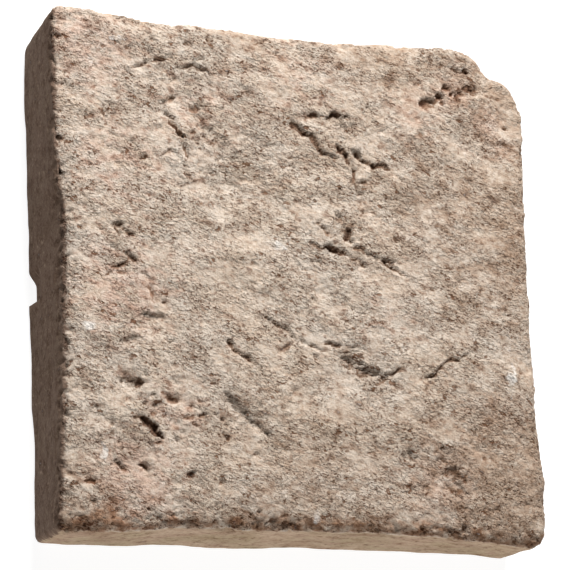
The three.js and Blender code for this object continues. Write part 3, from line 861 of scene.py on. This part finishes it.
def add_node(tree, kind, inputs=None, output=0, **settings):
    """Adds a node with its settings and gives back one of its outputs. Each input is a value, or the
    output of another node, which is linked. Some inputs go by number: in Map Range, 0 is the value, 1
    and 2 the levels that it starts from and ends at, and 3 and 4 what they become, and in Mix, 6 and 7
    are the two colours."""
    made = tree.nodes.new(kind)
    for setting, value in settings.items():
        setattr(made, setting, value)
    for socket, value in (inputs or {}).items():
        if isinstance(value, bpy.types.NodeSocket):
            tree.links.new(value, made.inputs[socket])
        else:
            made.inputs[socket].default_value = value
    return made.outputs[output] if made.outputs else None


# Patterns of the clay that are too fine for the mesh, in mm. Real sand is about 0.3 to 1 mm and chopped
# straw about 0.5 mm across, which is less than the picture can show, so the sand, the flecks of straw
# and the finest pores are drawn as coarse as they need to show.

# The heading in degrees along which the clay was dragged, and how much that drew out its mottling
DRAG, DRAG_STRETCH = -20, 1.6
# Mottling of the colour, and grains of sand
MOTTLING = {"drift": 36, "patch": 14, "clod": 6, "crumb": 3, "sand": 1.5}
GRAIN_SIZE = 1.9
# Flecks of burnt-out straw, sunk by the bump and darkened with painted shade: heading, length,
# width, and the level of noise past which one shows, with the further rise in noise by which it is full
FLECKS = ((-30, 3.4, 0.9, 0.65), (-62, 3.0, 0.9, 0.66))
FLECK_EDGE = 0.05
# Crumbled pores, sunk by the bump and darkened with painted shade: size, and the levels of noise
# between which they break in
PORES = ((1.3, 0.59, 0.66), (2.2, 0.61, 0.65), (5.0, 0.62, 0.65))
# Streaks of colour on the sides: their size through, along and up a side
STREAK_SIZE = (18, 18, 7)
# Grain and pores keep this share on the sides. On the face they are weaker on patches of calm crust:
# the levels of mottling from which to which, and the shares there.
SIDE_GRAIN = 0.25
CRUST_LEVELS, CRUST_GRAIN = (0.40, 0.58), (0.35, 1.1)
# How much the mottling frays the edges of the stained patches
STAIN_RAGGEDNESS = 2.2


def fired_clay(settings):
    """Fired clay tempered with sand and chopped straw, struck off and left rough. It has no gloss, its
    colour drifts between grey buff and pink, and grains of sand glint pale. Its pores and the low
    places of its grain are darkened with painted shade, and its gouges, creases and left side partly."""
    material = bpy.data.materials.new("fired_clay")
    material.use_nodes = True
    tree = material.node_tree
    tree.nodes.clear()
    node = partial(add_node, tree)
    place = node("ShaderNodeTexCoord", output="Object")
    stain = {name: node("ShaderNodeAttribute", output="Fac", attribute_name=name) for name in STAINS}
    dragged = node(
        "ShaderNodeMapping",
        {"Vector": place, "Rotation": (0, 0, math.radians(DRAG)), "Scale": (DRAG_STRETCH, 1, 1)},
        vector_type="TEXTURE",
    )
    mottle = {
        name: node(
            "ShaderNodeTexNoise",
            {"Vector": dragged, "Scale": 1 / (size * MM), "Detail": 4.0, "Roughness": 0.6},
        )
        for name, size in MOTTLING.items()
    }

    holes = 0.0
    for heading, length, width, level in FLECKS:
        laid = node(
            "ShaderNodeMapping",
            {"Vector": place, "Rotation": (0, 0, math.radians(heading)),
             "Scale": (length * MM, width * MM, width * MM)},
            vector_type="TEXTURE",
        )
        fleck = node("ShaderNodeTexNoise", {"Vector": laid, "Scale": 1.0, "Detail": 2.0})
        fleck = node(
            "ShaderNodeMapRange", {0: fleck, 1: level, 2: level + FLECK_EDGE},
            interpolation_type="SMOOTHSTEP",
        )
        holes = node("ShaderNodeMath", {0: holes, 1: fleck}, operation="MAXIMUM")
    for size, low, high in PORES:
        pore = node(
            "ShaderNodeTexNoise",
            {"Vector": dragged, "Scale": 1 / (size * MM), "Detail": 3.0, "Roughness": 0.65},
        )
        pore = node("ShaderNodeMapRange", {0: pore, 1: low, 2: high}, interpolation_type="SMOOTHSTEP")
        holes = node("ShaderNodeMath", {0: holes, 1: pore}, operation="MAXIMUM")
    roughness = node("ShaderNodeMapRange", {0: stain["rough"], 3: SIDE_GRAIN})
    low, high = CRUST_LEVELS
    calm, open_grain = CRUST_GRAIN
    crust = node("ShaderNodeMapRange", {0: mottle["patch"], 1: low, 2: high, 3: calm, 4: open_grain})
    roughness = node("ShaderNodeMath", {0: roughness, 1: crust}, operation="MULTIPLY")
    holes = node("ShaderNodeMath", {0: holes, 1: roughness}, operation="MULTIPLY")

    grain = node("ShaderNodeTexVoronoi", {"Vector": place, "Scale": 1 / (GRAIN_SIZE * MM)}, output="Distance")
    tone = node("ShaderNodeTexVoronoi", {"Vector": place, "Scale": 1 / (GRAIN_SIZE * MM)}, output="Color")
    tone = node("ShaderNodeSeparateColor", {0: tone})

    smooth = node("ShaderNodeMath", {0: 1.0, 1: stain["rough"]}, operation="SUBTRACT")
    streaked = node(
        "ShaderNodeMapping", {"Vector": place, "Scale": [size * MM for size in STREAK_SIZE]},
        vector_type="TEXTURE",
    )
    streak = node("ShaderNodeTexNoise", {"Vector": streaked, "Scale": 1.0, "Detail": 3.0})
    streak = node("ShaderNodeMath", {0: streak, 1: smooth}, operation="MULTIPLY")

    # Mottling above or below its mean of 0.5 shifts the edge of each stain
    edged = {}
    for name in ("blush", "brown", "lime", "soiled", "hollow_dirt_and_shade", "dusky_and_shade"):
        fine = mottle["crumb" if name == "dusky_and_shade" else "clod"]
        fine = node("ShaderNodeMath", {0: fine, 1: 0.5}, operation="SUBTRACT")
        edged[name] = node(
            "ShaderNodeMath", {0: fine, 1: STAIN_RAGGEDNESS, 2: stain[name]}, operation="MULTIPLY_ADD",
        )
    on_sides = {
        name: node("ShaderNodeMath", {0: mottle[name], 1: smooth}, operation="MULTIPLY")
        for name in ("drift", "patch", "clod", "sand")
    }

    # Layers of colour from the ground up: the pattern, the levels of it between which the layer comes
    # in, its full strength, how it blends and its colour
    clay = tuple(settings.clay_colour)
    for pattern, low, high, strength, blend, colour in (
        (mottle["drift"], 0.40, 0.60, 0.6, "MIX", linear("#C0AF9D")),
        (edged["blush"], 0.15, 0.95, 0.9, "MIX", linear("#C6AA9A")),
        (edged["brown"], 0.0, 1.0, 0.9, "MIX", linear("#A28D7A")),
        # Pale and dark grains of sand
        (tone, 0.65, 0.95, 0.20, "MIX", linear("#DED4C8")),
        (tone, 0.30, 0.05, 0.25, "MIX", linear("#8A6F59")),
        (mottle["sand"], 0.54, 0.70, 0.15, "MIX", linear("#DED4C8")),
        # The sand's low places, which the bump also sinks, are darkened: painted shade in the fine grain
        (mottle["sand"], 0.46, 0.34, 0.35, "MULTIPLY", linear("#BA9A76")),
        # The skin of the sides
        (smooth, 0.1, 0.9, 0.9, "MIX", tuple(settings.side_colour)),
        (on_sides["drift"], 0.40, 0.60, 0.6, "MIX", linear("#9A8A6D")),
        (on_sides["patch"], 0.46, 0.66, 0.5, "MIX", linear("#AC917F")),
        # The left side's darker skin, partly painted shade
        (edged["dusky_and_shade"], 0.1, 0.9, 0.93, "MIX", linear("#6A5649")),
        # Mottling, and dust and painted shade in the creases
        (mottle["patch"], 0.48, 0.66, 0.2, "MULTIPLY", linear("#C9B7A2")),
        (mottle["clod"], 0.52, 0.72, 0.15, "MULTIPLY", linear("#C4A588")),
        (mottle["crumb"], 0.54, 0.74, 0.25, "MULTIPLY", linear("#C4A588")),
        (stain["crease_dust_and_shade"], 0.2, 1.0, 0.5, "MULTIPLY", linear("#C69F7C")),
        (on_sides["sand"], 0.44, 0.64, 0.28, "MULTIPLY", linear("#A58F7B")),
        (on_sides["clod"], 0.44, 0.66, 0.30, "MULTIPLY", linear("#B09A85")),
        (streak, 0.46, 0.70, 0.35, "MULTIPLY", linear("#BCA084")),
        # Soil; the gouges, darkened by dirt and by painted shade; the pores, darkened with painted shade; and
        # lime over all
        (edged["soiled"], 0.25, 0.95, 0.8, "MULTIPLY", linear("#C2A084")),
        (edged["hollow_dirt_and_shade"], 0.20, 0.55, 0.70, "MULTIPLY", linear("#A88B72")),
        (stain["hollow_dirt_and_shade"], 0.4, 1.0, 0.6, "MULTIPLY", linear("#8C6040")),
        (holes, 0.0, 1.0, 0.85, "MULTIPLY", linear("#90694A")),
        (edged["lime"], 0.35, 0.85, 0.7, "MIX", linear("#E4DFD8")),
    ):
        amount = node(
            "ShaderNodeMapRange", {0: pattern, 1: low, 2: high, 4: strength},
            interpolation_type="SMOOTHSTEP",
        )
        clay = node(
            "ShaderNodeMix", {"Factor": amount, 6: clay, 7: colour}, output=2, data_type="RGBA",
            blend_type=blend,
        )

    # The bump's height is the sum of these patterns, each times its share
    height = 0.0
    for pattern, share in (
        (mottle["crumb"], 0.35), (mottle["sand"], 1.5), (grain, -0.4), (holes, -0.7),
    ):
        height = node("ShaderNodeMath", {0: pattern, 1: share, 2: height}, operation="MULTIPLY_ADD")
    height = node("ShaderNodeMath", {0: height, 1: roughness}, operation="MULTIPLY")
    normal = node("ShaderNodeBump", {"Height": height, "Strength": 1.0, "Distance": settings.grain_depth})
    shader = node(
        "ShaderNodeBsdfPrincipled",
        {"Base Color": clay, "Roughness": 0.95, "Specular IOR Level": 0.15, "Normal": normal},
    )
    node("ShaderNodeOutputMaterial", {"Surface": shader})
    return material


def lit_board(settings):
    """A sheet of matt white acrylic that is lit from below, so that the brick lies on white with hardly
    a shadow: dull, with an even glow."""
    material = bpy.data.materials.new("lit_white_acrylic")
    material.use_nodes = True
    shader = material.node_tree.nodes["Principled BSDF"]
    shader.inputs["Base Color"].default_value = tuple(settings.board_colour)
    shader.inputs["Roughness"].default_value = 0.9
    shader.inputs["Specular IOR Level"].default_value = 0.1
    shader.inputs["Emission Color"].default_value = (1, 1, 1, 1)
    shader.inputs["Emission Strength"].default_value = settings.board_glow
    return material


# The camera that the photograph's perspective gives: its place in metres, the way it looks, its
# upward way, and its lens for a square picture on a 36 mm sensor
CAMERA_PLACE = (-0.5088, -0.3794, 1.5214)
CAMERA_LOOK = (0.3144, 0.2356, -0.9196)
CAMERA_UP = (-0.0547, 0.9716, 0.2302)
SENSOR = 36.0
PICTURE_SIDE = 570
FOCAL_PIXELS = 2471
# How far the camera sees, how far the floor reaches from the brick, and what the lamps look at, in
# metres
CLIP_END = 50.0
FLOOR_REACH = 6.0
LIT_PLACE = (0, 0, 0.03)
# The soft lamp behind the brick and the low one in front of it: azimuth and elevation in degrees,
# distance and side in metres
KEY_LAMP = (7, 42, 2.6, 0.8)
FILL_LAMP = (172, 8, 1.6, 0.5)


def aim(thing, place, look, up):
    """Puts a camera or light at a place, looking one way, with its own Y axis towards up."""
    back = -Vector(look).normalized()
    right = Vector(up).cross(back).normalized()
    turn = Matrix((right, back.cross(right), back)).transposed()
    thing.matrix_world = Matrix.Translation(place) @ turn.to_4x4()


def area_light(name, power, azimuth, elevation, distance, size):
    """A square lamp that looks at the brick. Azimuth is in degrees from +Y towards +X."""
    turn, rise = math.radians(azimuth), math.radians(elevation)
    away = Vector((math.sin(turn) * math.cos(rise), math.cos(turn) * math.cos(rise), math.sin(rise)))
    lamp = bpy.data.lights.new(name, "AREA")
    lamp.shape = "SQUARE"
    lamp.size = size
    lamp.energy = power
    holder = bpy.data.objects.new(name, lamp)
    bpy.context.scene.collection.objects.link(holder)
    aim(holder, Vector(LIT_PLACE) + away * distance, -away, (0, 0, 1))


class BrickSettings(bpy.types.PropertyGroup):
    """Sizes, colours and light that a user would change."""

    face_step: FloatProperty(
        name="Face step", description="Distance between the lines of the face's grid",
        default=1.25 * MM, min=0.4 * MM, max=10 * MM, unit="LENGTH",
    )
    side_step: FloatProperty(
        name="Side step", description="Distance between the rows of the sides",
        default=3.0 * MM, min=0.8 * MM, max=10 * MM, unit="LENGTH",
    )
    grain_depth: FloatProperty(
        name="Grain depth", description="Depth of the finest grain, drawn as a bump",
        default=1.3 * MM, min=0, max=3 * MM, unit="LENGTH",
    )
    clay_colour: FloatVectorProperty(
        name="Clay colour", description="Ground colour of the face, under its patches and mottling",
        default=linear("#C3B6A8"), size=4, min=0, max=1, subtype="COLOR",
    )
    side_colour: FloatVectorProperty(
        name="Side colour", description="Ground colour of the smoother sides",
        default=linear("#AE967E"), size=4, min=0, max=1, subtype="COLOR",
    )
    board_colour: FloatVectorProperty(
        name="Board colour", description="Colour of the board that the brick lies on, under its glow",
        default=linear("#908F8D"), size=4, min=0, max=1, subtype="COLOR",
    )
    board_glow: FloatProperty(
        name="Board glow", description="Strength of the light that comes up through the board",
        default=0.91, min=0,
    )
    key_power: FloatProperty(
        name="Key light", description="Power of the soft lamp behind the brick",
        default=137, min=0, unit="POWER",
    )
    fill_power: FloatProperty(
        name="Fill light", description="Power of the low lamp in front of the brick",
        default=10, min=0, unit="POWER",
    )
    room_light: FloatProperty(
        name="Room light", description="Strength of the even light of the room",
        default=0.07, min=0,
    )


class OBJECT_OT_make_clay_brick(bpy.types.Operator):
    """Make the worn clay brick around its solid"""

    bl_idname = "object.make_clay_brick"
    bl_label = "Make clay brick"

    def execute(self, context):
        settings = context.scene.brick_settings
        points, quads, bed_rim, stains = brick_skin(settings.face_step / MM, settings.side_step / MM)
        mesh = mesh_from("clay_brick", fit_to_solid(points), quads, bed_rim, stains)
        mesh.materials.append(fired_clay(settings))
        piece = bpy.data.objects.new("clay_brick", mesh)
        context.scene.collection.objects.link(piece)
        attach(piece, "root")
        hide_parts("brick")
        return {"FINISHED"}


class SCENE_OT_make_studio(bpy.types.Operator):
    """Make the pale floor, the lamps and the camera"""

    bl_idname = "scene.make_studio"
    bl_label = "Make studio"

    def execute(self, context):
        scene = context.scene
        settings = scene.brick_settings
        scene.view_settings.view_transform = "Standard"

        floor_mesh = bpy.data.meshes.new("floor")
        quarters = ((-1, -1), (1, -1), (1, 1), (-1, 1))
        floor_mesh.from_pydata(
            [(side_x * FLOOR_REACH, side_y * FLOOR_REACH, 0) for side_x, side_y in quarters],
            [], [(0, 1, 2, 3)],
        )
        floor_mesh.materials.append(lit_board(settings))
        floor = bpy.data.objects.new("floor", floor_mesh)
        scene.collection.objects.link(floor)

        world = bpy.data.worlds.new("studio")
        world.use_nodes = True
        world.node_tree.nodes["Background"].inputs["Strength"].default_value = settings.room_light
        world.node_tree.nodes["Background"].inputs["Color"].default_value = (1, 1, 1, 1)
        scene.world = world

        area_light("key_lamp", settings.key_power, *KEY_LAMP)
        area_light("fill_lamp", settings.fill_power, *FILL_LAMP)

        lens = bpy.data.cameras.new("camera")
        lens.sensor_width = SENSOR
        lens.lens = FOCAL_PIXELS / PICTURE_SIDE * SENSOR
        lens.clip_end = CLIP_END
        camera = bpy.data.objects.new("camera", lens)
        scene.collection.objects.link(camera)
        aim(camera, CAMERA_PLACE, CAMERA_LOOK, CAMERA_UP)
        scene.camera = camera
        return {"FINISHED"}


class VIEW3D_PT_brick(bpy.types.Panel):
    """The brick's settings and its two makers."""

    bl_label = "Ancient brick"
    bl_space_type = "VIEW_3D"
    bl_region_type = "UI"
    bl_category = "Brick"

    def draw(self, context):
        settings = context.scene.brick_settings
        for name in BrickSettings.__annotations__:
            self.layout.prop(settings, name)
        for maker in MAKERS:
            self.layout.operator(maker.bl_idname)


MAKERS = (SCENE_OT_make_studio, OBJECT_OT_make_clay_brick)
CLASSES = (BrickSettings, *MAKERS, VIEW3D_PT_brick)


def register():
    for made in CLASSES:
        bpy.utils.register_class(made)
    bpy.types.Scene.brick_settings = PointerProperty(type=BrickSettings)


def unregister():
    del bpy.types.Scene.brick_settings
    for made in reversed(CLASSES):
        bpy.utils.unregister_class(made)


def main():
    """Makes the studio and the brick."""
    register()
    bpy.ops.scene.make_studio()
    bpy.ops.object.make_clay_brick()


if __name__ == "__main__":
    main()
